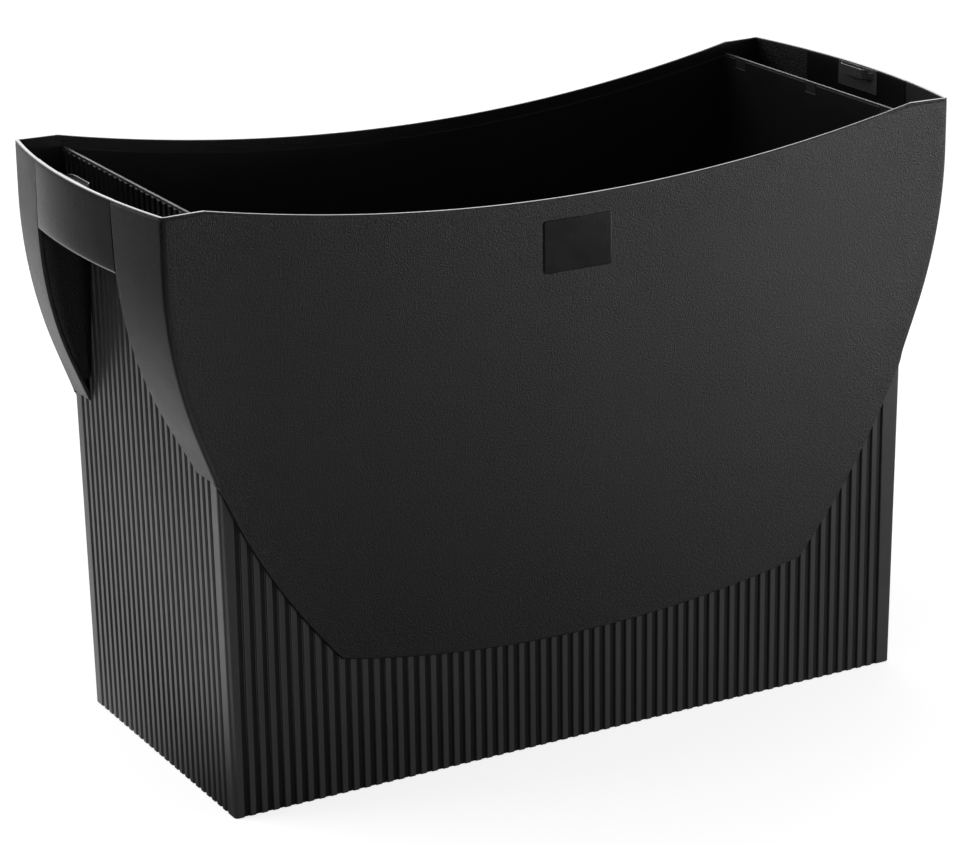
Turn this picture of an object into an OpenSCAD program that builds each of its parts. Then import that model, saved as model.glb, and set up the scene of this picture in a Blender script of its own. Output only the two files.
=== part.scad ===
// Portable box for hanging files: a ribbed bin that tapers to its floor, two smooth outer
// shells whose ends flare out into wings, and a curved carrying band at each end.
// Length runs along X and depth along Y. The box stands on Z = 0, with its middle at the origin.

/* [Bin] */
// Length of the bin at its floor
bin_l = 329.8; // [270:0.2:400]
// Depth of the bin at its floor
bin_d = 145.2; // [116:0.2:180]
// Height of the rim at the corners
box_h = 260.5; // [215:0.5:315]
// Lean of the end walls, in degrees
end_draft = 0.8; // [0.3:0.1:1.2]
// Lean of the long walls, in degrees
side_draft = 0.1; // [0.1:0.1:1]
// Thickness of the floor
floor_t = 2.4; // [2:0.1:4]
// Thickness of a wall behind its grooves
wall_t = 1.2; // [0.8:0.1:2]
// Radius of the bin's upright corners
corner_r = 2; // [2:0.5:5]
// Radius of its upright corners inside
cavity_r = 1.2; // [1.2:0.2:4]
// Chamfer round the foot of the bin
foot_edge = 0.3; // [0.3:0.1:1]
// Width of the rim that the bin stands on
foot_w = 9; // [5:0.5:20]
// Depth of the recess inside that rim
foot_h = 0.8; // [0.5:0.1:1.2]

/* [Ribs] */
// Distance from one rib to the next
rib_pitch = 5.35; // [4.2:0.05:8]
// Width of the flat top of a rib
rib_w = 2.4; // [1.6:0.1:2.9]
// Height of a rib above its grooves
rib_h = 0.9; // [0.5:0.1:1.2]
// Slope of a rib's flanks, in degrees
rib_slope = 17; // [5:1:30]
// How far the long walls' ribs lie off the middle
rib_shift = 1.4; // [0:0.1:2]

/* [Shells] */
// Thickness of a shell over the bin
shell_t = 1.7; // [1.6:0.1:2.2]
// Thickness of a wing
wing_t = 2; // [1.4:0.1:2.4]
// Radius of a shell's corners
shell_r = 2.5; // [2.5:0.1:3.5]
// How far the rim sinks at the middle of a shell
rim_dip = 17.4; // [8:0.2:26]
// How far the shell corners reach past the ends of the bin, at the rim
wing_reach = 19.2; // [15:0.1:24]
// How far the shells bend outward at their corners
corner_flare = 1.2; // [0.5:0.1:3]
// Distance from the middle at which that bend starts
bend_x = 140; // [60:1:150]
// Length of a shell's lower edge, from corner to corner
apron_l = 227.2; // [160:0.2:250]
// Height of the lower edge's corners
apron_z = 60.8; // [40:0.1:80]
// How far the lower edge hangs below its corners
apron_sag = 11.7; // [4:0.1:20]
// How far the slanting edges bulge
slant_sag = 4.2; // [1:0.1:8]

/* [Wings] */
// Height of a wing, from its tip to the rim
wing_h = 113.5; // [100:0.5:130]
// Width of a wing at its tip
tip_w = 19; // [10:0.5:26]
// Thickness of a wing at its tip
tip_t = 0.8; // [0.5:0.1:1.2]
// Lean of the wings' lower stretch, in degrees
wing_angle = 20; // [14:1:24]
// Radius that brings the wings upright
flare_r = 210; // [120:5:230]
// Thickness of the webs that close the wings' inner edges
web_t = 1.6; // [1:0.1:2.2]
// Slant of a web, as its drift along Y for each step along X
web_slant = 0.1; // [0:0.05:0.5]

/* [Handles] */
// How far a handle bows out past the shell corners
handle_bow = 7.3; // [5:0.1:13]
// Height of a handle band
band_h = 30.5; // [26:0.5:38]
// Thickness of a handle band
band_t = 2.2; // [1.9:0.1:3]
// Width of the hand opening at the rim
grip_w = 76; // [60:1:80]
// Thickness of the rolled lower edge of a band
roll_d = 3.4; // [3.2:0.2:5]
// Width of the seam between a band and a wing
seam = 0.5; // [0.3:0.1:0.8]
// Lean of that seam, in degrees
seam_lean = 4; // [0:0.5:8]
// Thickness of the tab that laps behind a wing
tab_t = 1.6; // [1:0.1:2.2]
// Length of that tab past the seam
tab_l = 7; // [4:0.5:9]

/* [File rails] */
// Height of the end walls below the rim
wall_drop = 5.6; // [5:0.1:12]
// Gap between a file rail and the shell at either end of it
rail_gap = 0.6; // [0.3:0.1:5]
// Thickness of a file rail
rail_t = 1.2; // [0.8:0.1:1.4]
// How far a file rail stands above its wall
rail_up = 0.8; // [0.6:0.1:4]
// Width of the tabs that hold a file rail in its wall
rail_tab = 8; // [5:0.5:14]
// Length of those tabs
rail_in = 4; // [2:0.5:8]

/* [Lid catches] */
// Width of a catch's foot
catch_w = 30; // [24:1:40]
// Height of a catch's foot
catch_h = 11; // [8:0.5:14]
// Thickness of a catch's foot
catch_t = 1; // [0.8:0.1:1.2]
// How deep the foot is set in the band, at the middle
catch_in = 0.3; // [0.1:0.1:0.6]
// Distance from the rim down to a catch
catch_drop = 0.4; // [0:0.1:1]
// Width of the lug where it leaves the foot
lug_w = 26; // [20:1:30]
// Width of the lug's nose
lug_nose = 17; // [10:1:19]
// How far the lug stands out
lug_reach = 3.6; // [3:0.2:6]
// Height of the lug
lug_h = 4.3; // [3:0.1:6]
// Thickness of the lug's raised lip
lug_lip = 0.9; // [0.6:0.1:1.1]
// Depth of the hollow inside that lip
lug_hollow = 1.6; // [0.5:0.1:2.4]

/* [Blank plate] */
// Width of the plate
plate_w = 32.6; // [20:0.2:50]
// Height of the plate
plate_h = 22.6; // [14:0.2:30]
// Thickness of the plate
plate_t = 1; // [0.8:0.1:1.4]
// How far the plate stands out of its recess
plate_up = 0.4; // [0.2:0.1:0.6]
// Radius of the plate's corners
plate_r = 1.2; // [0.5:0.1:3]
// Distance from the rim's lowest point down to the plate
plate_drop = 9; // [5:0.5:30]

/* [Hidden] */

black = [0.13, 0.13, 0.135];
satin_black = [0.2, 0.2, 0.205];
rail_black = [0.25, 0.25, 0.255];
plate_black = [0.08, 0.08, 0.085];

fit = 0.15;            // clearance round a seated piece
skin = 0.05;           // clearance of a wing's back from the ribs
seat_in = rib_h + 0.05; // the flat under a shell lies just below the groove floors
reach = 40;            // how far a cutting block runs past what it cuts
arc_fn = 360;          // sides of the large circles
corner_steps = 8;      // facets round one of the bin's corners
small_fn = 24;         // sides of the catch's and the plate's corners

function end_x(z) = bin_l / 2 + z * tan(end_draft);
function side_y(z) = bin_d / 2 + z * tan(side_draft);
function seat_y(z) = side_y(z) - seat_in;
function lerp(a, b, t) = a + (b - a) * t;
function clamp(t) = min(max(t, 0), 1);
function arc_r(half, sag) = (half * half + sag * sag) / (2 * sag);

// Rim: an arc that ends in a kink above each end wall
wall_z = box_h - wall_drop;
kink_x = end_x(wall_z);
rim_r = arc_r(kink_x, rim_dip);
rim_mid_z = box_h - rim_dip;
function rim_z(x) = abs(x) >= kink_x ? box_h : rim_mid_z + rim_r - sqrt(rim_r * rim_r - x * x);

// Lower edge of a shell: a shallow arc, then from its corners a bulging slant up to each wing
tip_z = box_h - wing_h;
apron_x = apron_l / 2;
apron_r = arc_r(apron_x, apron_sag);
apron_mid = [0, apron_z - apron_sag + apron_r];
slant_foot = [apron_x, apron_z];
slant_top = [end_x(tip_z), tip_z - 1];
slant_run = slant_top - slant_foot;
slant_r = arc_r(norm(slant_run) / 2, slant_sag);
slant_mid = (slant_top + slant_foot) / 2
    + [-slant_run[1], slant_run[0]] / norm(slant_run) * (slant_r - slant_sag);
function arc_z(mid, r, x) = mid[1] - sqrt(r * r - pow(x - mid[0], 2));
function apron_edge_z(x) = x <= apron_x ? arc_z(apron_mid, apron_r, x) : arc_z(slant_mid, slant_r, x);

// Flare of the wings, seen from the front: a straight lean, then an arc that ends upright
corner_x = kink_x + wing_reach;
tip_x = end_x(tip_z) + tip_t;
lean_h = (corner_x - tip_x - flare_r * (1 - cos(wing_angle))) / tan(wing_angle);
upright_z = tip_z + lean_h + flare_r * sin(wing_angle);
function flare_x(z) = z >= upright_z
    ? corner_x
    : z >= tip_z + lean_h
    ? corner_x - flare_r + sqrt(flare_r * flare_r - pow(upright_z - z, 2))
    : tip_x + max(z - tip_z, 0) * tan(wing_angle);

// Plan of a shell: flat in the middle, bent outward towards the corners
function flare_y(x) = corner_flare * pow(max(x - bend_x, 0) / (corner_x - bend_x), 2);
function face_y(x, z) = seat_y(z) + shell_t + flare_y(x);

// Plan of a wing: part of the circle that the handle band follows, flatter towards its tip
band_z = box_h - band_h;
function turn_y(z) = face_y(flare_x(z) - shell_r, z) - shell_r;
turn_lean = 2 * atan(handle_bow / turn_y(box_h));
bow_y = turn_y(box_h) + shell_r * sin(turn_lean);
bow_r = arc_r(bow_y, handle_bow);
bow_x = corner_x + handle_bow - bow_r;
function bow(z) = 1 - pow(1 - clamp((z - tip_z) / (band_z - tip_z)), 3);
function wing_x(y, z) = flare_x(z)
    + bow(z) * (sqrt(bow_r * bow_r - y * y) - sqrt(bow_r * bow_r - bow_y * bow_y));
function wing_lean(y, z) = bow(z) * asin(y / bow_r);

// Inner edge of a wing: straight along the handle band, then sweeping out towards the tip
tip_y = face_y(tip_x, tip_z) - tip_w;
band_foot_y = grip_w / 2 + band_h * tan(seam_lean);
edge_drop = band_z - tip_z;
edge_sweep = (tip_y - band_foot_y - edge_drop * tan(seam_lean)) / (edge_drop * edge_drop);
function edge_y(z) = grip_w / 2 + (box_h - z) * tan(seam_lean) + edge_sweep * pow(max(band_z - z, 0), 2);

// Corner of a shell: the centre of its arc, and where that arc runs into the wing
function turn_end_y(z) = turn_y(z) + shell_r * sin(turn_lean * bow(z));
function turn_x(z) = wing_x(turn_end_y(z), z) - shell_r * cos(turn_lean * bow(z));

// Half of a shell is a row of columns from its middle to the wing's inner edge. A column is
// ["panel", x], ["ear", share of the way to the corner], ["corner", share of the turn] or
// ["wing", share of the way to the inner edge].
joint_x = end_x(tip_z) - shell_r;
kink_share = (kink_x - joint_x) / (turn_x(box_h) - joint_x);
apron_steps = 9;
slant_steps = 6;
turn_steps = 6;
wing_steps = 8;
levels = 14;
web_levels = 6;
half_columns = [
    for (i = [0:apron_steps]) ["panel", apron_x * i / apron_steps],
    for (i = [1:slant_steps]) ["panel", lerp(apron_x, joint_x, i / slant_steps)],
    ["ear", kink_share],
    ["ear", (1 + kink_share) / 2],
    for (i = [0:turn_steps]) ["corner", i / turn_steps],
    for (i = [1:wing_steps]) ["wing", i / wing_steps]
];

// Outer face of a column at height z
function outer_point(kind, t, z) =
    kind == "panel" ? [t, face_y(t, z)]
    : kind == "ear" ? let(x = lerp(joint_x, turn_x(z), t)) [x, face_y(x, z)]
    : kind == "corner"
    ? let(a = lerp(90, turn_lean * bow(z), t)) [turn_x(z) + shell_r * cos(a), turn_y(z) + shell_r * sin(a)]
    : let(y = lerp(turn_end_y(z), edge_y(z), t)) [wing_x(y, z), y];

// Inner face of a wing: one wall thickness in, but never inside the bin
function wing_back(y, z) = let(a = wing_lean(y, z))
    [max(wing_x(y, z) - wing_t * cos(a), end_x(z) + skin), y - wing_t * sin(a)];

// Inner face of a column at height z; a corner has a sharp inner edge, which clears the bin's
function inner_point(kind, t, z) =
    kind == "panel" ? [t, seat_y(z)]
    : kind == "ear" ? let(x = lerp(joint_x, turn_x(z), t)) [x, seat_y(z) + t * flare_y(x)]
    : kind == "corner"
    ? let(back = wing_back(turn_end_y(z), z), y = turn_y(z) + shell_r - shell_t)
        t <= 0.5
        ? [lerp(turn_x(z), back[0], 2 * t), y]
        : [back[0], lerp(y, back[1], 2 * t - 1)]
    : wing_back(lerp(turn_end_y(z), edge_y(z), t), z);

// Lower and upper end of a column
function column_foot(kind, t) =
    kind == "panel" ? apron_edge_z(t)
    : kind == "wing" ? tip_z
    : min(apron_edge_z(min(outer_point(kind, t, tip_z)[0], slant_top[0])), tip_z);
function column_head(kind, t) = kind == "panel" ? rim_z(t) : box_h;

// One side of the shell's ring at level v, from the left wing to the right wing
function ring_side(v, inner) =
    let(half = [for (c = half_columns)
        let(z = lerp(column_foot(c[0], c[1]), column_head(c[0], c[1]), v),
            p = inner ? inner_point(c[0], c[1], z) : outer_point(c[0], c[1], z))
        [p[0], -p[1], z]])
    [for (i = [len(half) - 1:-1:1]) [-half[i][0], half[i][1], half[i][2]], for (p = half) p];
function reversed(list) = [for (i = [len(list) - 1:-1:0]) list[i]];

// A solid through rings of equally many points, each of which runs anticlockwise seen from
// above. Its ends are strips between the first and the second half of a ring.
module loft(rings) {
    n = len(rings[0]);
    top = (len(rings) - 1) * n;
    sides = [for (k = [0:len(rings) - 2], i = [0:n - 1])
        let(a = k * n + i, b = k * n + (i + 1) % n) each [[a, a + n, b + n], [a, b + n, b]]];
    floor_strip = [for (i = [0:n / 2 - 2]) each [[i, i + 1, n - 2 - i], [i, n - 2 - i, n - 1 - i]]];
    top_strip = [for (f = floor_strip) [for (i = [2:-1:0]) top + f[i]]];
    polyhedron([for (ring = rings) each ring], concat(sides, floor_strip, top_strip));
}

// Puts children on a wall, where the way out is -Y and the origin is the middle of its foot
module on_wall(turn, half, draft)
    rotate([0, 0, turn]) translate([0, -half, 0]) rotate([draft, 0, 0]) children();
module on_front() on_wall(0, bin_d / 2, side_draft) children();
module on_long_walls() {
    on_front() children();
    on_wall(180, bin_d / 2, side_draft) children();
}
module on_end_walls() {
    on_wall(-90, bin_l / 2, end_draft) children();
    on_wall(90, bin_l / 2, end_draft) children();
}
module on_both_ends() {
    children();
    mirror([1, 0, 0]) children();
}

// Tapered block with round upright corners, set in from the bin's outer faces.
// steps lists heights and extra insets, from the bottom to the top.
module bin_block(in_x, in_y, r, steps)
    loft([for (step = steps)
        let(z = step[0], in = step[1])
        [for (quarter = [0:3], i = [0:corner_steps])
            let(a = 90 * (quarter + i / corner_steps),
                sx = quarter == 0 || quarter == 3 ? 1 : -1,
                sy = quarter < 2 ? 1 : -1)
            [sx * (end_x(z) - in_x - r) + (r - in) * cos(a),
             sy * (side_y(z) - in_y - r) + (r - in) * sin(a),
             z]]]);

// Grooves between the ribs of one wall
groove_w = rib_pitch - rib_w;
module grooves(places) {
    bed = groove_w - 2 * rib_h * tan(rib_slope);
    translate([0, 0, -1]) linear_extrude(box_h + reach) for (x = places) translate([x, 0])
        polygon([[-bed / 2, rib_h], [-groove_w / 2, 0], [-groove_w / 2, -1],
                 [groove_w / 2, -1], [groove_w / 2, 0], [bed / 2, rib_h]]);
}

// Everything above a shell's lower edge, seen from the front
module above_apron(gap) intersection() {
    translate(apron_mid) circle(r = apron_r + gap, $fn = arc_fn);
    translate(slant_mid) circle(r = slant_r + gap, $fn = arc_fn);
    translate([-slant_mid[0], slant_mid[1]]) circle(r = slant_r + gap, $fn = arc_fn);
}

// Everything above the bin's rim, seen from the front; its arc ends just inside the end walls
module above_bin() {
    translate([0, rim_mid_z + rim_r - wall_drop + 2 * fit]) circle(r = rim_r, $fn = arc_fn);
    translate([-bin_l, wall_z]) square([2 * bin_l, reach]);
}

// A file rail lies on an end wall, flush with its inside; its tabs fill notches behind the ribs
rail_x = end_x(wall_z) - rib_h - wall_t;
rail_half = seat_y(wall_z) - rail_gap;
rail_tabs = [for (s = [-1, 0, 1]) s * rail_half * 0.8];
module rail_notches() for (y = rail_tabs)
    translate([rail_x - reach, y - rail_tab / 2 - fit, wall_z - rail_in - fit])
        cube([reach + rail_t + fit, rail_tab + 2 * fit, reach]);

module file_bin() color(black) {
    long_count = floor((bin_l / 2 - corner_r - rib_shift - groove_w / 2) / rib_pitch + 0.5);
    end_count = floor((bin_d / 2 - corner_r - groove_w / 2) / rib_pitch);
    difference() {
        bin_block(0, 0, corner_r, [[0, foot_edge], [foot_edge, 0], [wall_z + 1, 0]]);
        on_long_walls()
            grooves([for (i = [-long_count:long_count - 1]) (i + 0.5) * rib_pitch - rib_shift]);
        on_end_walls() grooves([for (i = [-end_count:end_count]) i * rib_pitch]);
        bin_block(rib_h + wall_t, seat_in + wall_t, cavity_r,
            [[floor_t, foot_edge], [floor_t + foot_edge, 0], [box_h, 0]]);
        bin_block(foot_w, foot_w, corner_r, [[-1, 0], [foot_h, 0]]);
        on_long_walls() translate([0, seat_in, 0]) rotate([90, 0, 0])
            linear_extrude(reach) above_apron(fit);
        rotate([90, 0, 0]) linear_extrude(bin_d + reach, center = true) above_bin();
        on_both_ends() rail_notches();
    }
}

// Web from a wing's inner edge back to the bin, on the right of the front shell
module web() {
    foot = tip_z + 2 * wing_t / tan(wing_angle);
    loft([for (k = [0:web_levels])
        let(z = lerp(foot, band_z, k / web_levels),
            x_out = wing_x(edge_y(z), z) - wing_t * 0.4,
            x_in = end_x(z) + skin,
            y_out = edge_y(z) + fit,
            y_in = y_out + web_slant * (x_out - x_in))
        [[x_in, -y_in - web_t, z], [x_out, -y_out - web_t, z], [x_out, -y_out, z], [x_in, -y_in, z]]]);
}

module shell() {
    loft([for (k = [0:levels])
        concat(ring_side(k / levels, false), reversed(ring_side(k / levels, true)))]);
    on_both_ends() web();
}

// Places children flat on the front shell, behind the blank plate's middle
module on_plate_seat()
    on_front() translate([0, seat_in - shell_t, rim_mid_z - plate_drop - plate_h / 2])
        rotate([90, 0, 0]) translate([0, 0, plate_up - plate_t]) children();

module plate_outline(gap) {
    hx = plate_w / 2 - plate_r;
    hy = plate_h / 2 - plate_r;
    square([2 * hx, plate_h + 2 * gap], center = true);
    square([plate_w + 2 * gap, 2 * hy], center = true);
    for (x = [-hx, hx], y = [-hy, hy]) translate([x, y]) circle(r = plate_r + gap, $fn = small_fn);
}

module front_shell() color(satin_black) difference() {
    shell();
    on_plate_seat() linear_extrude(reach) plate_outline(fit);
}

module rear_shell() color(satin_black) rotate([0, 0, 180]) shell();

module front_plate() color(plate_black) on_plate_seat() linear_extrude(plate_t) plate_outline(0);

// Everything inside the wings' outer face moved inward by off, in section through the bow's axis
module inside_flare(off) translate([bow_r, upright_z]) {
    translate([-flare_r, 0]) circle(r = flare_r - off, $fn = arc_fn);
    translate([-reach, 0]) square([reach - off, 2 * reach]);
}

bow_sweep = 2 * asin((grip_w / 2 + tab_l + reach / 4) / bow_r);
module round_bow() translate([bow_x, 0, 0]) rotate([0, 0, -bow_sweep / 2])
    rotate_extrude(angle = bow_sweep, $fn = arc_fn) children();

// Upright wall along the bow, between two depths under the wings' outer face
module bow_wall(from, to, foot, head) round_bow() intersection() {
    translate([bow_r - reach, foot]) square([2 * reach, head - foot]);
    difference() {
        inside_flare(from);
        inside_flare(to);
    }
}

// Slab that reaches half a width from the middle, at the rim, and leans with the seams
module seam_slab(half) rotate([90, 0, 90]) linear_extrude(2 * corner_x)
    polygon([for (s = [[-1, 0], [1, 0], [1, 2 * band_h], [-1, 2 * band_h]])
        [s[0] * (half + (s[1] - band_h / 2) * tan(seam_lean)), box_h + band_h / 2 - s[1]]]);

// Flat on the inside of a band, on which a lid catch sits
catch_x = corner_x + handle_bow - band_t + catch_in;
catch_z = box_h - catch_drop - catch_h;

// Carrying band on the right-hand end
module handle() {
    lap = wing_t + fit + tab_t;
    tab_foot = band_z + roll_d;
    tab_head = box_h - 2;
    difference() {
        union() {
            intersection() {
                union() {
                    bow_wall(0, band_t, band_z + roll_d / 2, box_h);
                    round_bow()
                        translate([bow_r + flare_x(band_z) - corner_x - roll_d / 2, band_z + roll_d / 2])
                            circle(d = roll_d, $fn = small_fn);
                    difference() {
                        bow_wall(band_t / 2, lap, tab_foot, tab_head);
                        seam_slab(grip_w / 2 - tab_l);
                    }
                }
                seam_slab(grip_w / 2 - seam);
            }
            difference() {
                bow_wall(wing_t + fit, lap, tab_foot, tab_head);
                seam_slab(grip_w / 2 - tab_l);
                seam_outside();
            }
        }
        translate([catch_x - reach, -catch_w / 2 - fit, catch_z - fit])
            cube([reach, catch_w + 2 * fit, catch_h + reach]);
    }
}

// Everything past the ends of the tabs
module seam_outside() for (s = [-1, 1])
    translate([0, s * (grip_w / 2 + tab_l + reach), box_h])
        cube([3 * corner_x, 2 * reach, 4 * reach], center = true);

module right_handle() color(satin_black) handle();
module left_handle() color(satin_black) mirror([1, 0, 0]) handle();

// Strip with rounded upper corners that carries the hooks of the files
module file_rail() {
    r = rail_up / 2;
    translate([rail_x, 0, wall_z]) rotate([90, 0, 90]) linear_extrude(rail_t) {
        translate([-rail_half, 0]) square([2 * rail_half, rail_up - r]);
        translate([r - rail_half, 0]) square([2 * (rail_half - r), rail_up]);
        for (s = [-1, 1]) translate([s * (rail_half - r), rail_up - r]) circle(r = r, $fn = small_fn);
        for (y = rail_tabs) translate([y - rail_tab / 2, -rail_in]) square([rail_tab, rail_in + r]);
    }
}
module right_file_rail() color(rail_black) file_rail();
module left_file_rail() color(rail_black) mirror([1, 0, 0]) file_rail();

// Plan of a lug, set in by a margin: wide at the foot, with a narrower round-cornered nose
module lug_plan(in) hull() {
    translate([-catch_t / 2, in - lug_w / 2]) square([catch_t / 2, lug_w - 2 * in]);
    for (s = [-1, 1]) translate([1 + in - catch_t - lug_reach, s * (lug_nose / 2 - 1)])
        circle(r = 1 - in / 2, $fn = small_fn);
}

// Foot on the handle band, and on it a lug that a lid clips over
module lid_catch() translate([catch_x, 0, catch_z]) {
    translate([-catch_t, -catch_w / 2, 0]) cube([catch_t, catch_w, catch_h]);
    translate([0, 0, catch_h - lug_h]) difference() {
        linear_extrude(lug_h) lug_plan(0);
        translate([-catch_t, 0, lug_h - lug_hollow]) linear_extrude(lug_h) lug_plan(lug_lip);
    }
}
module right_lid_catch() color(plate_black) lid_catch();
module left_lid_catch() color(plate_black) mirror([1, 0, 0]) lid_catch();

file_bin();
front_shell();
rear_shell();
left_handle();
right_handle();
left_file_rail();
right_file_rail();
left_lid_catch();
right_lid_catch();
front_plate();
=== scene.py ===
import math

import bmesh
import bpy
import numpy as np
from bpy.props import FloatProperty, FloatVectorProperty, PointerProperty
from bpy.types import Operator, Panel, PropertyGroup
from mathutils import Matrix, Vector


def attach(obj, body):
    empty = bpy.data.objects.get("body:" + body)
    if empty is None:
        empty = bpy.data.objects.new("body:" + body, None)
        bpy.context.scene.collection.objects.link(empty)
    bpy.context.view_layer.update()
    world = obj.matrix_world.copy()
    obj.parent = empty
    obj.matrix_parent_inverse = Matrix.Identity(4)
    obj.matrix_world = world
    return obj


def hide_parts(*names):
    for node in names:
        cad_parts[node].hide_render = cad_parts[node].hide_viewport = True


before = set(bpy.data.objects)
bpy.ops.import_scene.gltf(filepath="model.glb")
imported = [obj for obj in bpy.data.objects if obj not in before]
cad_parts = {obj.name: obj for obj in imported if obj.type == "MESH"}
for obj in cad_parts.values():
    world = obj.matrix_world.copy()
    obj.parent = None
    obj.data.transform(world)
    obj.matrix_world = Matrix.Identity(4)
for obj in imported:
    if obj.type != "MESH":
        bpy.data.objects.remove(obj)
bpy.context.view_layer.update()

bl_info = {
    "name": "Portable File Box",
    "version": (1, 0, 0),
    "blender": (4, 5, 0),
    "location": "View3D > Sidebar > File Box",
    "description": "Moulded shells, carrying bands and plastic finishes round the packed file box",
    "category": "Object",
}

MM = 0.001
WELD = 0.001        # mm within which two points of a mesh become one, where a wall's edge runs out


# ---------------------------------------------------------------- colours

def linear(hex_colour):
    """sRGB hex such as "1c1c1e" turned to linear red, green and blue."""
    parts = [int(hex_colour[i:i + 2], 16) / 255 for i in (0, 2, 4)]
    return tuple(c / 12.92 if c <= 0.04045 else ((c + 0.055) / 1.055) ** 2.4 for c in parts)


def colour_property(name, description, hex_colour):
    return FloatVectorProperty(name=name, description=description, subtype="COLOR",
                               size=3, min=0, max=1, default=linear(hex_colour))


def length_property(name, description, millimetres):
    return FloatProperty(name=name, description=description, unit="LENGTH", min=0,
                         default=millimetres * MM)


def angle_property(name, description, degrees):
    return FloatProperty(name=name, description=description, subtype="ANGLE", min=0,
                         default=math.radians(degrees))


def power_property(name, description, watts):
    return FloatProperty(name=name, description=description, unit="POWER", min=0, default=watts)


class FileBoxForm(PropertyGroup):
    """Sizes of the moulding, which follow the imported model."""
    bin_length: length_property("Bin length", "Length of the bin at its floor", 329.8)
    bin_depth: length_property("Bin depth", "Depth of the bin at its floor", 145.2)
    rim_height: length_property("Rim height", "Height of the rim at the corners", 260.5)
    end_draft: angle_property("End draft", "Lean of the end walls", 0.8)
    side_draft: angle_property("Side draft", "Lean of the long walls", 0.1)
    rib_height: length_property("Rib height", "Height of a rib above its grooves", 0.9)
    shell_wall: length_property("Shell wall", "Thickness of a shell over the bin", 1.7)
    wing_wall: length_property("Wing wall", "Thickness of a wing", 2)
    corner_radius: length_property("Corner radius", "Radius of a shell's corners", 2.5)
    rim_dip: length_property("Rim dip", "How far the rim sinks at the middle", 17.4)
    wing_reach: length_property("Wing reach", "How far the corners pass the bin's ends", 19.2)
    corner_flare: length_property("Corner flare", "How far the shells bend out at the corners", 1.2)
    bend_start: length_property("Bend start", "Where that bend starts, from the middle", 140)
    apron_length: length_property("Apron length", "Length of a shell's lower edge", 227.2)
    apron_height: length_property("Apron height", "Height of the lower edge's corners", 60.8)
    apron_sag: length_property("Apron sag", "How far the lower edge hangs", 11.7)
    slant_sag: length_property("Slant sag", "How far the slanting edges bulge", 4.2)
    wing_height: length_property("Wing height", "Height of a wing, from tip to rim", 113.5)
    tip_width: length_property("Tip width", "Width of a wing at its tip", 19)
    tip_wall: length_property("Tip wall", "Thickness of a wing at its tip", 0.8)
    wing_lean: angle_property("Wing lean", "Lean of the wings' lower stretch", 20)
    flare_radius: length_property("Flare radius", "Radius that brings the wings upright", 210)
    web_wall: length_property("Web wall", "Thickness of the webs behind the wings", 1.6)
    web_slant: FloatProperty(name="Web slant", default=0.1,
                             description="A web's drift across for each step along")
    handle_bow: length_property("Handle bow", "How far a band bows out past the corners", 7.3)
    band_height: length_property("Band height", "Height of a carrying band", 30.5)
    band_wall: length_property("Band wall", "Thickness of a carrying band", 2.2)
    grip_width: length_property("Grip width", "Width of the hand opening at the rim", 76)
    roll: length_property("Rolled edge", "Thickness of a band's rolled lower edge", 3.4)
    seam: length_property("Seam", "Width of the seam between band and wing", 0.5)
    seam_lean: angle_property("Seam lean", "Lean of that seam", 4)
    wall_drop: length_property("Wall drop", "Height of the end walls below the rim", 5.6)
    plate_width: length_property("Plate width", "Width of the blank plate", 32.6)
    plate_height: length_property("Plate height", "Height of the blank plate", 22.6)
    plate_wall: length_property("Plate wall", "Thickness of the blank plate", 1)
    plate_proud: length_property("Plate proud", "How far the plate stands out", 0.4)
    plate_radius: length_property("Plate radius", "Radius of the plate's corners", 1.2)
    plate_drop: length_property("Plate drop", "Rim's lowest point down to the plate", 9)
    edge_round: length_property("Edge rounding", "Radius of the moulded edges", 0.45)


class FileBoxFinish(PropertyGroup):
    """Colours and grain of the black plastics, and the light on them."""
    rib_black: colour_property("Rib black", "Tops of the bin's ribs", "434345")
    # Groove black: the rails' own colour, and painted shade in the bin's grooves, inside it and
    # behind the bands
    shade_and_rail_black: colour_property("Groove black", "Grooves and inside of the bin", "181819")
    shell_black: colour_property("Shell black", "Grained shells", "0a0a0b")
    band_black: colour_property("Band black", "Satin carrying bands", "111112")
    plate_black: colour_property("Plate black", "Smooth blank plate", "060607")
    grain: length_property("Grain", "Width of a pit in the shells' grain", 0.55)
    key_power: power_property("Key light", "Large soft light high on the left", 16)
    back_power: power_property("Back light", "Long low light behind, on the right", 16)
    front_power: power_property("Front light", "Small soft light at the front right", 2.0)


# ---------------------------------------------------------------- form

PLAIN_SIZES = {"end_draft", "side_draft", "wing_lean", "seam_lean", "web_slant"}    # not lengths
SKIN = 0.05         # mm between the shells' inner faces and the bin, so that no faces coincide
TIP_DROP = 1        # mm from a wing's tip down to the end of the slanting lower edge


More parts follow.
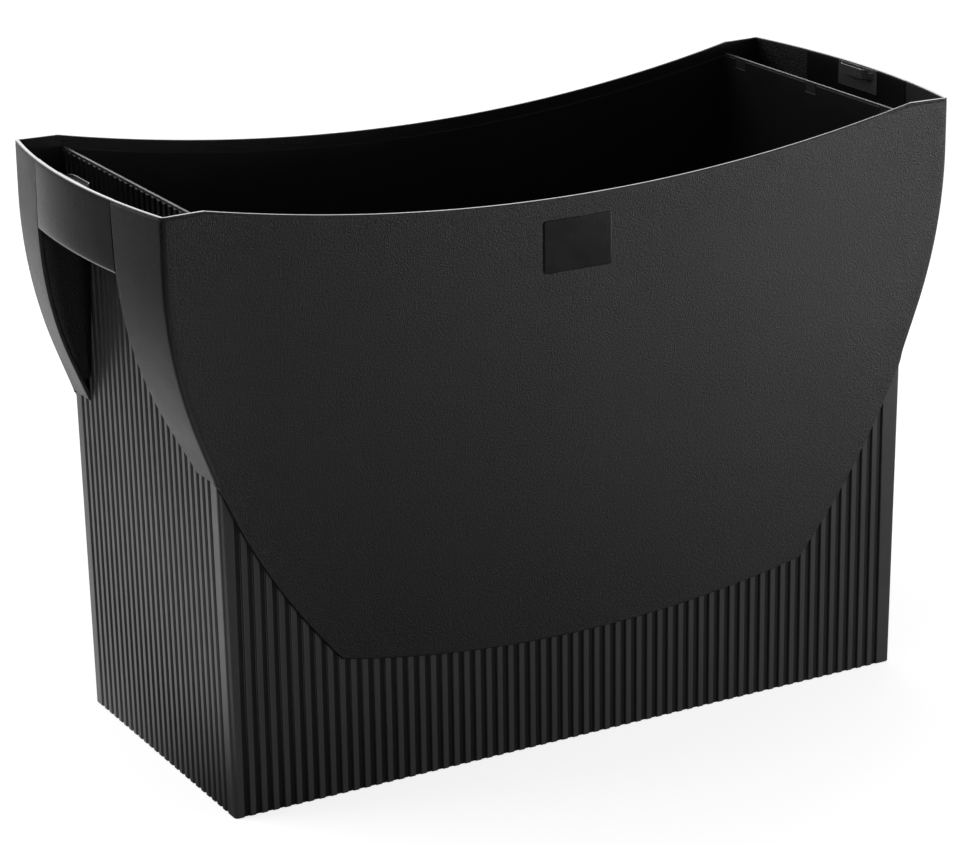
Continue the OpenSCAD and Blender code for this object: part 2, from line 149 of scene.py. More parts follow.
class Form:
    """The moulding's outlines in millimetres, as functions of height and distance along the box."""

    def __init__(self, sizes):
        for name in sizes.__annotations__:
            unit = 1 if name in PLAIN_SIZES else MM
            setattr(self, name, getattr(sizes, name) / unit)
        self.seat_in = self.rib_height + SKIN
        self.wall_top = self.rim_height - self.wall_drop
        self.kink_x = float(self.end_x(self.wall_top))
        self.rim_radius = self.arc_radius(self.kink_x, self.rim_dip)
        self.rim_middle = self.rim_height - self.rim_dip
        self.tip = self.rim_height - self.wing_height
        self.band_foot = self.rim_height - self.band_height
        self.corner_x = self.kink_x + self.wing_reach
        self.set_apron()
        self.set_flare()
        self.set_bow()

    @staticmethod
    def arc_radius(half, sag):
        """Radius of the arc that sags by that much over that half width."""
        return (half * half + sag * sag) / (2 * sag)

    def end_x(self, z):
        """Outer face of the bin's end wall: half its length, and more with height by the draft."""
        return self.bin_length / 2 + z * math.tan(self.end_draft)

    def seat_y(self, z):
        """The flat under a shell: the long wall's face, which leans by its draft, less the ribs."""
        return self.bin_depth / 2 + z * math.tan(self.side_draft) - self.seat_in

    def rim_z(self, x):
        """Rim: an arc between the kinks above the end walls, level outside them."""
        inside = np.minimum(np.abs(x), self.kink_x)
        return self.rim_middle + self.rim_radius - np.sqrt(self.rim_radius ** 2 - inside ** 2)

    def set_apron(self):
        """Lower edge: a shallow arc, and from its corners a circle through each wing's tip."""
        self.apron_x = self.apron_length / 2
        self.apron_radius = self.arc_radius(self.apron_x, self.apron_sag)
        self.apron_mid = self.apron_height - self.apron_sag + self.apron_radius
        foot = np.array([self.apron_x, self.apron_height])
        top = np.array([self.end_x(self.tip), self.tip - TIP_DROP])
        run = top - foot
        length = float(np.hypot(*run))
        self.slant_top_x = float(top[0])
        self.slant_radius = self.arc_radius(length / 2, self.slant_sag)
        self.slant_mid = (top + foot) / 2 + np.array([-run[1], run[0]]) / length * (
            self.slant_radius - self.slant_sag)

    def apron_z(self, x):
        """Height of that lower edge: on the shallow arc to its corners, on the circle past them."""
        x = np.minimum(np.abs(x), self.slant_top_x)
        bow = self.apron_mid - np.sqrt(self.apron_radius ** 2 - np.minimum(x, self.apron_x) ** 2)
        slant = self.slant_mid[1] - np.sqrt(self.slant_radius ** 2 - (x - self.slant_mid[0]) ** 2)
        return np.where(x <= self.apron_x, bow, slant)

    def set_flare(self):
        """Wings seen from the front: a straight lean, then an arc that ends upright."""
        self.tip_x = self.end_x(self.tip) + self.tip_wall
        rise = self.corner_x - self.tip_x - self.flare_radius * (1 - math.cos(self.wing_lean))
        self.lean_top = self.tip + rise / math.tan(self.wing_lean)
        self.upright = self.lean_top + self.flare_radius * math.sin(self.wing_lean)

    def flare_x(self, z):
        """How far out a wing stands at its corner: on the straight lean, then on the arc."""
        z = np.asarray(z, float)
        fall = np.clip(self.upright - z, 0, self.flare_radius)
        arc = self.corner_x - self.flare_radius + np.sqrt(self.flare_radius ** 2 - fall ** 2)
        lean = self.tip_x + np.maximum(z - self.tip, 0) * math.tan(self.wing_lean)
        return np.where(z >= self.lean_top, arc, lean)

    def flare_y(self, x):
        """Plan of a shell: flat in the middle, bent outward by a square law to the corners."""
        bend = np.maximum(x - self.bend_start, 0) / (self.corner_x - self.bend_start)
        return self.corner_flare * bend ** 2

    def face_y(self, x, z):
        """Outer face of a shell: its seat, its wall and its bend to the corners."""
        return self.seat_y(z) + self.shell_wall + self.flare_y(x)

    def set_bow(self):
        """Plan of a band: an arc that leaves both corners and bows out by handle_bow."""
        turn_y = float(self.turn_y(self.rim_height))
        self.turn_lean = 2 * math.atan(self.handle_bow / turn_y)
        self.bow_y = turn_y + self.corner_radius * math.sin(self.turn_lean)
        self.bow_radius = self.arc_radius(self.bow_y, self.handle_bow)
        self.bow_mid = self.corner_x + self.handle_bow - self.bow_radius
        tip_y = float(self.face_y(self.tip_x, self.tip)) - self.tip_width
        drop = self.band_foot - self.tip
        band_foot_y = self.grip_width / 2 + self.band_height * math.tan(self.seam_lean)
        self.edge_sweep = (tip_y - band_foot_y - drop * math.tan(self.seam_lean)) / drop ** 2

    def turn_y(self, z):
        """Centre of a shell's corner arc, across the box: a radius in from the shell's face."""
        return self.face_y(self.flare_x(z) - self.corner_radius, z) - self.corner_radius

    def corner_arc(self, z):
        """A shell's corner seen from above: its arc's centre, the angle from X at which it runs
        into the wing, and how far across that is."""
        turn_y = self.turn_y(z)
        lean = self.turn_lean * self.bow(z)
        end_y = turn_y + self.corner_radius * np.sin(lean)
        turn_x = self.wing_x(end_y, z) - self.corner_radius * np.cos(lean)
        return turn_x, turn_y, lean, end_y

    def bow(self, z):
        """Share of the band's bow that a wing has at a height: none at its tip, all at the band."""
        rise = np.clip((z - self.tip) / (self.band_foot - self.tip), 0, 1)
        return 1 - (1 - rise) ** 3

    def wing_x(self, y, z):
        """Outer face of a wing: the flare, and that height's share of the band's bow."""
        ends = math.sqrt(self.bow_radius ** 2 - self.bow_y ** 2)
        span = np.sqrt(self.bow_radius ** 2 - y ** 2) - ends
        return self.flare_x(z) + self.bow(z) * span

    def edge_y(self, z):
        """Inner edge of a wing: straight along the band, then a parabola out to the tip."""
        sweep = self.edge_sweep * np.maximum(self.band_foot - z, 0) ** 2
        return self.grip_width / 2 + (self.rim_height - z) * math.tan(self.seam_lean) + sweep

    def wing_back(self, y, z):
        """Inner face of a wing: one wall in along its own lean, but never inside the bin."""
        lean = self.bow(z) * np.arcsin(y / self.bow_radius)
        x = np.maximum(self.wing_x(y, z) - self.wing_wall * np.cos(lean), self.end_x(z) + SKIN)
        return x, y - self.wing_wall * np.sin(lean)


# ---------------------------------------------------------------- meshes

MAY_PASS = 1            # mm by which a piece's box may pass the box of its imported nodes
MAY_FALL_SHORT = 6      # mm by which it may fall short, which a band's hidden tabs take
SHARP = math.radians(32)    # faces that meet at more than this are shaded with a sharp edge
EDGE_FLAT = 0.55        # share of a wall that is flat at its edge, between the roundings

# The fine line under the rim, in mm
BEAD_DROP = 1.0         # from the rim down to its middle
BEAD_DEPTH = 0.16
BEAD_WIDTH = 0.22
BEAD_START = 150        # from the middle of the box to where it begins
BEAD_FADE = 15          # over which it gets its full depth
BEAD_ROWS = (0.6, 1.5, 10)      # rows of the mesh round it: first, last and how many
PAST_BEAD = 9.0         # a drop that is well past it

# Columns of a shell's mesh along each stretch, and its rows between the edges
PANEL_COLUMNS, SLANT_COLUMNS, EAR_COLUMNS, HEAD_COLUMNS = 28, 18, 4, 7
CORNER_COLUMNS, WING_COLUMNS = 13, 26
SHELL_ROWS = 46
WING_INSET = 0.3        # mm between the rounding of a wing's inner edge and its next column
FOOT_INSET = 0.25       # mm between the rounding of a shell's lower edge and its next row
SEAT_CLIMB = 25         # mm above a wing's tip over which its wall gets rounded on both sides

# A web's mesh and place
WEB_ROWS, WEB_COLUMNS = 24, 8
WEB_SPAN = 70           # mm, about a web's height, against which its foot's rounding is set
WEB_GAP = 0.15          # mm from the wing's inner edge
WEB_END = 0.4           # share of the wing's wall in which it ends

# A band's mesh, and how the seam beside it shuts towards the rim, in mm
BAND_COLUMNS, BAND_OUTER, BAND_INNER, BAND_ROLL = 65, 15, 12, 26
SEAM_SHUT_DROP = 6.6    # below the rim
SEAM_SHUT_RISE = 0.5    # over which it shuts
SEAM_SHUT = 0.04        # what is left of it
ROLL_GAP = 0.2          # from the roll up to the last row of the band's inner face

PLATE_EDGE = 0.3        # mm, radius of the plate's front edge


def check_against(piece, nodes):
    """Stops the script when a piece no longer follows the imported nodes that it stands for."""
    packed = np.concatenate([np.array(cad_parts[node].bound_box) for node in nodes])
    points = np.empty((len(piece.data.vertices), 3), np.float32)
    piece.data.vertices.foreach_get("co", points.ravel())
    growth = np.concatenate([packed.min(0) - points.min(0), points.max(0) - packed.max(0)])
    if growth.max() > MAY_PASS * MM or growth.min() < -MAY_FALL_SHORT * MM:
        raise ValueError(f"{piece.name} is {np.abs(growth).max() / MM:.2f} mm off its packed nodes")


def add_piece(name, points, faces, slot, *nodes):
    """Makes a mesh from points in mm and rows of point numbers, and stands it for its nodes."""
    mesh = bpy.data.meshes.new(name)
    mesh.from_pydata((np.asarray(points) * MM).tolist(), [], faces)
    welded = bmesh.new()
    welded.from_mesh(mesh)
    bmesh.ops.remove_doubles(welded, verts=welded.verts, dist=WELD * MM)
    welded.to_mesh(mesh)
    welded.free()
    mesh.polygons.foreach_set("use_smooth", np.ones(len(mesh.polygons), dtype=bool))
    mesh.set_sharp_from_angle(angle=SHARP)
    mesh.update()
    piece = bpy.data.objects.new(name, mesh)
    bpy.context.scene.collection.objects.link(piece)
    check_against(piece, nodes)
    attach(piece, "root")
    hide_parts(*nodes)
    return piece


def edge_profile(radius, steps=6):
    """Rounded edge of a wall: a flat stretch at the border, then a quarter circle. Gives the
    distances from the border and the share of the half wall that stands there."""
    turn = np.linspace(0, math.pi / 2, steps + 1)
    distance = np.concatenate([[0], radius * (1 - np.cos(turn))])
    share = np.concatenate([[0], EDGE_FLAT + (1 - EDGE_FLAT) * np.sin(turn)])
    return distance, share


def quads(grid):
    """Rows of point numbers of the four-sided faces between neighbours in a grid."""
    return np.stack([grid[:-1, :-1], grid[:-1, 1:], grid[1:, 1:], grid[1:, :-1]], -1).reshape(-1, 4)


def ringed(grid):
    """The same grid with its first column again at the end, for a surface that closes on itself."""
    return np.concatenate([grid, grid[:, :1]], 1)


def pillow(outer, inner, seat, share):
    """Closed sheet between two grids of points. At each point the front stands between a seat
    surface (that share of the way out from the back) and the outer grid, the back between it and
    the inner grid. Both meet on the seat at the border, where the share of the wall is nothing."""
    rows, columns, _ = outer.shape
    middle = inner + (outer - inner) * seat[..., None]
    front_points = middle + (outer - middle) * share[..., None]
    back_points = middle + (inner - middle) * share[..., None]
    front = np.arange(rows * columns).reshape(rows, columns)
    inside = np.zeros((rows, columns), bool)
    inside[1:-1, 1:-1] = True
    back = front.copy()
    back[inside] = rows * columns + np.arange(int(inside.sum()))
    points = np.concatenate([front_points.reshape(-1, 3), back_points[inside]])
    return points, np.concatenate([quads(front), quads(back)[:, ::-1]])


def join(*parts):
    """One part from several with four-sided faces, whose point numbers go on from one another."""
    points, faces = zip(*parts)
    first = np.cumsum([0] + [len(part) for part in points])
    return np.concatenate(points), np.concatenate([np.add(f, n) for f, n in zip(faces, first)])


def mirrored(part, axis):
    """The same part on the other side, with its faces turned to point outward again."""
    points, faces = part
    flipped = points.copy()
    flipped[:, axis] *= -1
    return flipped, [face[::-1] for face in faces]


def turned(part):
    """The same part turned half round the upright axis."""
    points, faces = part
    return points * np.array([-1, -1, 1]), faces


def shell_rows(form, foot, head, foot_slope=1):
    """Heights of a shell's rows, from its foot to its head at each column: close together in the
    rounded edges and the bead, even between. Gives the heights, the share of the wall at each row
    and the drop below the rim."""
    distance, share = edge_profile(form.edge_round)
    bead = np.linspace(*BEAD_ROWS)
    low = np.concatenate([distance, [form.edge_round + FOOT_INSET]])
    high = np.concatenate([distance, bead])
    even = np.linspace(0, 1, SHELL_ROWS)[1:-1]
    lower = foot + low[:, None] * foot_slope
    upper = head - high[::-1, None] + 0 * foot
    between = lower[-1] + (upper[0] - lower[-1]) * even[:, None]
    heights = np.concatenate([lower, between, upper])
    shares = np.concatenate([share, [1], np.ones(len(even)), np.ones(len(bead)), share[::-1]])
    drop = np.concatenate([np.full((len(low) + len(even), 1), PAST_BEAD), high[::-1, None]])
    return heights, shares, drop


def bead_groove(drop, strength):
    """Depth of the fine line under the rim: a bell curve of the drop below it."""
    return BEAD_DEPTH * strength * np.exp(-((drop - BEAD_DROP) / BEAD_WIDTH) ** 2)


def half_shell(form):
    """Front shell from its middle to the right wing's inner edge, as outer and inner grids, the
    seat between them and the share of the wall at each point. Its rows rise from the lower edge to
    the rim. The panel lies one wall out from the leaning side of the bin and bends out by a square
    law; an arc turns it into the wing, which stands on the arc of the band's bow, moved out by the
    flare and taken back with the height below the band."""
    joint_x = float(form.end_x(form.tip)) - form.corner_radius
    distance, share = edge_profile(form.edge_round)
    rim_corner = float(form.wing_x(form.bow_y, form.rim_height))
    corner_top = rim_corner - form.corner_radius * math.cos(form.turn_lean)
    kink = (form.kink_x - joint_x) / (corner_top - joint_x)
    panel = np.concatenate([np.linspace(0, form.apron_x, PANEL_COLUMNS),
                            np.linspace(form.apron_x, joint_x, SLANT_COLUMNS)[1:]])
    ear = np.concatenate([np.linspace(0, kink, EAR_COLUMNS)[1:],
                          np.linspace(kink, 1, HEAD_COLUMNS)[1:-1]])
    corner = np.linspace(0, 1, CORNER_COLUMNS)
    wing = np.linspace(0, 1, WING_COLUMNS)[1:]

    # panel: straight columns, whose lower rows follow the slope of the edge
    foot = form.apron_z(panel)
    slope = np.sqrt(1 + np.gradient(foot, panel) ** 2)
    z, row_share, drop = shell_rows(form, foot, form.rim_z(panel), slope)
    x = np.broadcast_to(panel, z.shape)
    groove = bead_groove(drop, np.clip((panel - BEAD_START) / BEAD_FADE, 0, 1))
    outer = [np.stack([x, form.face_y(x, z) - groove, z], -1)]
    inner = [np.stack([x, form.seat_y(z) + 0 * x, z], -1)]

    # ear: columns that fan out from the panel to the corner
    tip_turn_x = float(form.tip_x) - form.corner_radius
    foot = form.apron_z(joint_x + (tip_turn_x - joint_x) * ear)
    head = form.rim_z(joint_x + (corner_top - joint_x) * ear)
    z, _, drop = shell_rows(form, np.minimum(foot, form.tip), head)
    x = joint_x + (form.corner_arc(z)[0] - joint_x) * ear
    outer.append(np.stack([x, form.face_y(x, z) - bead_groove(drop, 1), z], -1))
    inner.append(np.stack([x, form.seat_y(z) + ear * form.flare_y(x), z], -1))

    # corner: an arc outside, a sharp edge inside that clears the bin's
    angle_at_foot = math.pi / 2 * (1 - corner)
    foot = form.apron_z(tip_turn_x + form.corner_radius * np.cos(angle_at_foot))
    z, _, drop = shell_rows(form, np.minimum(foot, form.tip), np.full(len(corner), form.rim_height))
    turn_x, turn_y, lean, end_y = form.corner_arc(z)
    angle = math.pi / 2 + (lean - math.pi / 2) * corner
    radius = form.corner_radius - bead_groove(drop, 1)
    outer.append(np.stack([turn_x + radius * np.cos(angle),
                           turn_y + radius * np.sin(angle), z], -1))
    back_x, back_y = form.wing_back(end_y, z)
    inner_y = turn_y + form.corner_radius - form.shell_wall
    first, second = np.clip(2 * corner, 0, 1), np.clip(2 * corner - 1, 0, 1)
    inner.append(np.stack([turn_x + (back_x - turn_x) * first,
                           inner_y + (back_y - inner_y) * second, z], -1))

    # wing: from the corner to its inner edge, with that edge rounded
    columns = np.ones(len(wing) + len(distance))
    z, _, drop = shell_rows(form, form.tip * columns, form.rim_height * columns)
    end_y = form.corner_arc(z)[3]
    inset = np.concatenate([np.full(len(wing), form.edge_round + WING_INSET), distance[::-1]])
    near = form.edge_y(z) + inset
    y = np.where(np.arange(z.shape[1]) < len(wing),
                 end_y + (near - end_y) * np.concatenate([wing, np.ones(len(distance))]), near)
    back_x, back_y = form.wing_back(y, z)
    outer.append(np.stack([form.wing_x(y, z) - bead_groove(drop, 1), y, z], -1))
    inner.append(np.stack([back_x, back_y, z], -1))

    outer, inner = np.concatenate(outer, 1), np.concatenate(inner, 1)
    column_share = np.concatenate([np.ones(outer.shape[1] - len(distance)), share[::-1]])
    shares = np.minimum(row_share[:, None], column_share[None, :])
    climb = np.clip((outer[..., 2] - form.tip) / SEAT_CLIMB, 0, 1)
    return outer, inner, 0.5 * climb, shares


def shell_part(form):
    """Whole front shell: the right half and its mirror image in one sheet, on the -Y side."""
    outer, inner, seat, share = half_shell(form)
    outer, inner = outer * [1, -1, 1], inner * [1, -1, 1]
    flip = np.array([-1, 1, 1])

    def whole(grid, sign=1):
        return np.concatenate([grid[:, :0:-1] * sign, grid], 1)
    return pillow(whole(outer, flip), whole(inner, flip), whole(seat), whole(share))


def web_part(form):
    """Web from the right wing's inner edge back to the bin: at each height a straight line from the
    bin's end wall to the inside of the wing, drifting outward by the web's slant."""
    foot = form.tip + 2 * form.wing_wall / math.tan(form.wing_lean)
    distance, _ = edge_profile(form.edge_round, 3)
    rows = np.concatenate([distance, np.linspace(1, WEB_SPAN, WEB_ROWS)])
    rows = rows / rows[-1] * (form.band_foot - foot)
    z = (foot + rows)[:, None] * np.ones((1, WEB_COLUMNS))
    across = np.linspace(0, 1, WEB_COLUMNS)[None, :]
    out_x = form.wing_x(form.edge_y(z), z) - WEB_END * form.wing_wall
    in_x = form.end_x(z) + SKIN
    x = in_x + (out_x - in_x) * across
    y = form.edge_y(z) + WEB_GAP + form.web_slant * (out_x - x)
    front = np.stack([x, -y, z], -1)
    back = np.stack([x, -y - form.web_wall, z], -1)
    share = np.zeros(z.shape)
    share[1:-1, 1:-1] = 1
    return pillow(back, front, np.full(z.shape, 0.5), share)


def band_part(form):
    """Carrying band: a closed profile of depths under the outer face and heights, carried along the
    arc of the bow. The profile is a wall with a rounded rim and a rolled lower edge, and its arc's
    radius grows and shrinks with the flare at each height."""
    round_r, roll = form.edge_round, form.roll / 2
    foot, rim = form.band_foot, form.rim_height
    turn = np.linspace(0, math.pi / 2, 6)[1:]
    up = np.linspace(foot + roll, rim - round_r, BAND_OUTER)
    outer = np.stack([0 * up, up], 1)
    rim_out = np.stack([round_r * (1 - np.cos(turn)), rim - round_r + round_r * np.sin(turn)], 1)
    rim_in = rim_out[::-1] * [-1, 1] + [form.band_wall, 0]
    meet = foot + roll + math.sqrt(roll ** 2 - (form.band_wall - roll) ** 2)
    down = np.linspace(rim - round_r, meet + ROLL_GAP, BAND_INNER)
    inner = np.stack([0 * down + form.band_wall, down], 1)
    start = math.atan2(meet - foot - roll, form.band_wall - roll)
    around = np.linspace(start, -math.pi, BAND_ROLL)[:-1]
    bead = np.stack([roll + roll * np.cos(around), foot + roll + roll * np.sin(around)], 1)
    profile = np.concatenate([outer, rim_out, rim_in, inner, bead])
    depth, z = profile[:, 0], profile[:, 1]
    shut = np.clip((z - (rim - SEAM_SHUT_DROP)) / SEAM_SHUT_RISE, 0, 1)
    edge = form.grip_width / 2 + (rim - z) * math.tan(form.seam_lean)
    half = edge - form.seam + (form.seam - SEAM_SHUT) * shut
    across = np.linspace(-1, 1, BAND_COLUMNS)
    y = across[:, None] * half[None, :]
    radius = form.bow_radius + form.flare_x(z) - form.corner_x - depth
    x = form.bow_mid + np.sqrt(radius[None, :] ** 2 - y ** 2)
    points = np.stack([x, y, z[None, :] + 0 * y], -1)
    grid = np.arange(z.size * across.size).reshape(across.size, z.size)
    sides = quads(ringed(grid))[:, [0, 3, 2, 1]]
    return points.reshape(-1, 3), sides.tolist() + [grid[0].tolist(), grid[-1][::-1].tolist()]


def rounded_outline(width, height, radius, steps=6):
    """Rectangle with round corners, anticlockwise, as points."""
    angle = np.linspace(0, math.pi / 2, steps + 1)
    parts = []
    for quarter, (sx, sy) in enumerate([(1, 1), (-1, 1), (-1, -1), (1, -1)]):
        a = angle + quarter * math.pi / 2
        centre = np.array([sx * (width / 2 - radius), sy * (height / 2 - radius)])
        parts.append(centre + radius * np.stack([np.cos(a), np.sin(a)], 1))
    return np.concatenate(parts)


def plate_part(form):
    """Blank plate: a rounded rectangle carried up from its back, with a rounded front edge."""
    turn = np.linspace(0, math.pi / 2, 5)
    r = PLATE_EDGE
    steps = [(0, 0)]
    steps += [(r * (1 - math.cos(a)), form.plate_wall - r + r * math.sin(a)) for a in turn]
    steps += [(2 * r, form.plate_wall), (3 * r, form.plate_wall)]
    rings = []
    for inset, height in steps:
        flat = rounded_outline(form.plate_width - 2 * inset, form.plate_height - 2 * inset,
                               form.plate_radius - inset)
        rings.append(np.column_stack([flat, np.full(len(flat), height)]))
    points = np.stack(rings)
    grid = np.arange(points.size // 3).reshape(points.shape[:2])
    flat = points.reshape(-1, 3)
    centre_z = form.rim_middle - form.plate_drop - form.plate_height / 2
    back = form.plate_proud - form.plate_wall
    lean = math.tan(form.side_draft)
    z = centre_z + flat[:, 1]
    y = -(form.seat_y(z) + form.shell_wall + back + flat[:, 2])
    moved = np.column_stack([flat[:, 0], y, z + lean * flat[:, 2]])
    return moved, quads(ringed(grid)).tolist() + [grid[0][::-1].tolist(), grid[-1].tolist()]


# ---------------------------------------------------------------- materials

# Kinds of node that are used often, and their settings
MATH, RANGE, NOISE = "ShaderNodeMath", "ShaderNodeMapRange", "ShaderNodeTexNoise"
PLACE, PARTS, MIX = "ShaderNodeTexCoord", "ShaderNodeSeparateXYZ", "ShaderNodeMix"
ADD, SUBTRACT, LARGER = {"operation": "ADD"}, {"operation": "SUBTRACT"}, {"operation": "MAXIMUM"}
MULTIPLY, MULTIPLY_ADD = {"operation": "MULTIPLY"}, {"operation": "MULTIPLY_ADD"}
ABSOLUTE = {"operation": "ABSOLUTE"}
LINEAR, SMOOTH = {"interpolation_type": "LINEAR"}, {"interpolation_type": "SMOOTHSTEP"}
COLOURS = {"data_type": "RGBA"}

# What all the plastics share
STYRENE_IOR = 1.58
GRAIN_TURN = (0.6, 0.4, 0.9)    # turns the grain's noise off the faces, where it draws streaks
FLOW_WIDTH = 71.4               # mm, a mark that the flow of the melt leaves
HANDLING_WIDTH = 10.53          # mm, a patch that hands leave
FLOW_STRETCH = (0.3, 0.7)       # values of the marks' noise between which the roughness rises
HANDLED = (0.45, 0.75)          # values of the patches' noise between which it falls
TONE_SPREAD = 0.12              # share by which the flow marks lighten or darken the colour
SHEEN_SPREAD = 0.035            # by which they raise or lower the roughness
HANDLING_POLISH = 0.05          # most that handling takes off the roughness
TOP_FACE = (0.55, 0.95)         # upward part of the normal at which a face becomes a parting face
TOP_GRAIN = 0.1                 # share of the grain's strength that is left there

SHADE_FULL_DEPTH, SHADE_FREE_DEPTH = 0.8, 0.2      # shares of a rib's height under its top at which the grooves' painted shade is full, and at which it ends
BAND_SHADE = 30                     # mm under a band's foot over which its painted shadow fades out


def add_node(tree, kind, settings=None, *inputs, **named_inputs):
    """One node with its settings. Its inputs, in the order of the sockets in use or by a socket's
    name, are values, outputs of other nodes, or nodes, each for its first output in use."""
    node = tree.nodes.new(kind)
    for name, value in (settings or {}).items():
        setattr(node, name, value)
    in_use = [socket for socket in node.inputs if socket.enabled]
    named = [(node.inputs[name.replace("_", " ")], source) for name, source in named_inputs.items()]
    for socket, source in [*zip(in_use, inputs), *named]:
        if isinstance(source, bpy.types.Node):
            source = next(output for output in source.outputs if output.enabled)
        if isinstance(source, bpy.types.NodeSocket):
            tree.links.new(source, socket)
        else:
            socket.default_value = source
    return node


def past_face(tree, across, height, half, draft):
    """How far a point lies outside a pair of the bin's leaning faces, in metres."""
    face = add_node(tree, MATH, MULTIPLY_ADD, height, -math.tan(draft), -half * MM)
    return add_node(tree, MATH, ADD, add_node(tree, MATH, ABSOLUTE, across), face)


def unshaded_rib_tops(tree, place, form):
    """1 on the tops of the bin's ribs and all over its ends; 0 in the long walls' grooves and
    inside the bin, where the groove colour is painted shade, and on the wall behind the bands,
    where it is their painted shadow, which fades out below their foot."""
    x, y, z = add_node(tree, PARTS, Vector=place).outputs
    rib = form.rib_height * MM
    past_end = past_face(tree, x, z, form.bin_length / 2, form.end_draft)
    past_side = past_face(tree, y, z, form.bin_depth / 2, form.side_draft)
    all_over = add_node(tree, MATH, ADD, past_end, SHADE_FULL_DEPTH * rib)
    past = add_node(tree, MATH, LARGER, all_over, past_side)
    # painted shade: 0 deep in the long walls' grooves and inside the bin, 1 on the rib tops and the
    # ends
    rubbed_sheen_and_unshaded = add_node(tree, RANGE, LINEAR, past, -SHADE_FULL_DEPTH * rib, -SHADE_FREE_DEPTH * rib)
    # painted shadow of the bands: full on the wall above their foot, fading out over BAND_SHADE
    # below it
    shade_end = (form.band_foot - BAND_SHADE) * MM
    out_of_band_shadow = add_node(tree, RANGE, SMOOTH, z, form.band_foot * MM, shade_end)
    return add_node(tree, MATH, MULTIPLY, rubbed_sheen_and_unshaded, out_of_band_shadow)


def moulded_plastic(name, colour, roughness, grain_mm, grain_depth_mm, polish_top, edge_mm=0.25,
                    groove_shade=None, form=None):
    """Injection-moulded polystyrene. The tool's spark-eroded face leaves fine round pits, which
    break the sheen into specks; flow and handling leave slow changes of sheen; faces that look
    straight up are parting faces, which come out smooth, by polish_top. Edges are worn round by
    edge_mm, so each catches a thin light. Where a groove colour is given, it is painted shade in
    the ribs' grooves, inside the bin and behind the bands, while the rib tops keep the lighter
    colour. Real pits are 0.1 to 0.3 mm wide and shallow, too fine to show in the render, so they
    are drawn as coarse and as deep as they need to show."""
    material = bpy.data.materials.new(name)
    material.use_nodes = True
    tree = material.node_tree
    tree.nodes.clear()
    place = add_node(tree, PLACE).outputs["Object"]
    askew = add_node(tree, "ShaderNodeVectorRotate", {"rotation_type": "EULER_XYZ"},
                     Vector=place, Rotation=GRAIN_TURN)
    pits = add_node(tree, NOISE, Vector=askew, Scale=1 / (grain_mm * MM), Detail=2.5, Roughness=0.6)
    flow = add_node(tree, NOISE, Vector=place, Scale=1 / (FLOW_WIDTH * MM), Detail=3)
    handling = add_node(tree, NOISE, Vector=place, Scale=1 / (HANDLING_WIDTH * MM), Detail=4,
                        Roughness=0.7)

    # roughness: slow changes, less where it is handled and on the parting faces
    normal = add_node(tree, "ShaderNodeNewGeometry").outputs["Normal"]
    up = add_node(tree, PARTS, Vector=normal).outputs["Z"]
    top = add_node(tree, RANGE, LINEAR, up, *TOP_FACE)
    sheen = add_node(tree, RANGE, LINEAR, flow, *FLOW_STRETCH,
                     roughness - SHEEN_SPREAD, roughness + SHEEN_SPREAD)
    polish = add_node(tree, RANGE, LINEAR, handling, *HANDLED, 0, HANDLING_POLISH)
    rubbed_sheen_and_unshaded = add_node(tree, MATH, SUBTRACT, sheen, polish)
    polished = add_node(tree, MATH, MULTIPLY_ADD, top, -polish_top, rubbed_sheen_and_unshaded)

    # colour: a little darker and lighter along the flow, and painted shade in the grooves, inside
    # the bin and behind the bands
    dark, light = ((*(c * (1 + side * TONE_SPREAD) for c in colour), 1) for side in (-1, 1))
    shade = add_node(tree, MIX, COLOURS, flow, dark, light)
    if groove_shade:
        shade = add_node(tree, MIX, COLOURS, unshaded_rib_tops(tree, place, form), (*groove_shade, 1), shade)

    # relief: worn edges, then the pits
    worn = add_node(tree, "ShaderNodeBevel", {"samples": 4}, Radius=edge_mm * MM)
    strength = add_node(tree, RANGE, LINEAR, top, 0, 1, 1, TOP_GRAIN)
    bump = add_node(tree, "ShaderNodeBump", Distance=grain_depth_mm * MM, Height=pits,
                    Strength=strength, Normal=worn)
    surface = add_node(tree, "ShaderNodeBsdfPrincipled", IOR=STYRENE_IOR, Base_Color=shade,
                       Normal=bump, Roughness=polished)
    add_node(tree, "ShaderNodeOutputMaterial", Surface=surface)
    return material


def use_material(piece, material):
    """Gives a piece one material on all its faces."""
    piece.data.materials.clear()
    piece.data.materials.append(material)


# ---------------------------------------------------------------- operators

def settings():
    """The outlines and the finishes that the scene's properties ask for."""
    scene = bpy.context.scene
    return Form(scene.file_box_form), scene.file_box_finish


class FILEBOX_OT_bin(Operator):
    """Finish the ribbed bin"""
    bl_idname = "file_box.bin"
    bl_label = "Ribbed bin"

    def execute(self, context):
        form, finish = settings()
        # black polystyrene, moulded in deep polished grooves: the grooves, the inside and the wall
        # behind the bands take a darker colour as painted shade, so the lighter rib tops stand out
        # as fine lines
        ribbed = moulded_plastic("moulded_polystyrene_ribbed", finish.rib_black, roughness=0.34,
                                 grain_mm=0.5, grain_depth_mm=0.05, polish_top=0.0, edge_mm=0.6,
                                 groove_shade=finish.shade_and_rail_black, form=form)
        use_material(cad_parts["file_bin"], ribbed)
        return {"FINISHED"}


class FILEBOX_OT_rails(Operator):
    """Finish the two file rails along the end walls"""
    bl_idname = "file_box.rails"
    bl_label = "File rails"

    def execute(self, context):
        _, finish = settings()
        # black polystyrene, moulded in a plain milled slot: an even, half-dull strip
        smooth = moulded_plastic("moulded_polystyrene_rail", finish.shade_and_rail_black, roughness=0.5,
                                 grain_mm=0.6, grain_depth_mm=0.02, polish_top=0.0)
        for side in ("left", "right"):
            use_material(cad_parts[side + "_file_rail"], smooth)
        return {"FINISHED"}


